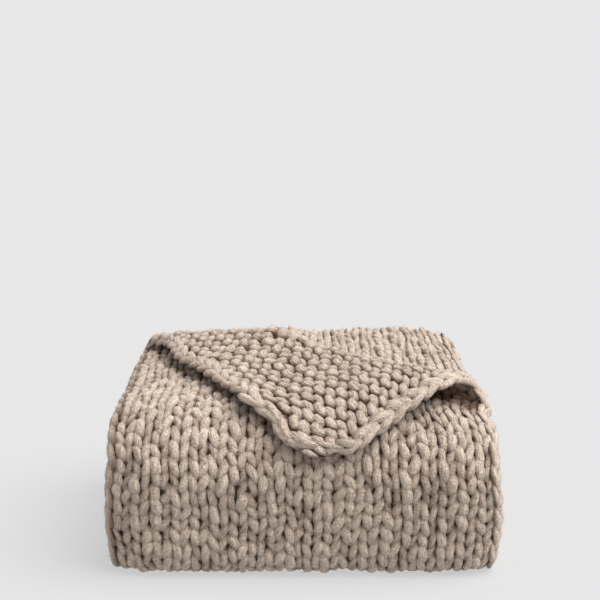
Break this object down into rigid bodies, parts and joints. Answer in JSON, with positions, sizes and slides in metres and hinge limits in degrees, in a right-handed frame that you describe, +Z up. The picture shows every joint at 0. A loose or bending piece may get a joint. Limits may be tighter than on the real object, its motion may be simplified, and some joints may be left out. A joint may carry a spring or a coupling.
{
  "type": "folded chunky knit blanket",
  "caption": "Thick knitted blanket folded back and forth into a soft pad, with one corner of its top layer turned over to the purl side.",
  "frame": {"origin": "on the resting surface, under the middle of the folded pad's overall box", "axes": "+X to the right along the wrapped front, +Y towards the open folds at the back, +Z up"},
  "size_m": [0.3958, 0.3172, 0.2053],
  "materials": {
    "oatmeal_yarn": "matte, soft, slightly fuzzy thick wool-like yarn"
  },
  "bodies": {
    "root": {"blanket": "oatmeal_yarn"}
  },
  "joints": []
}
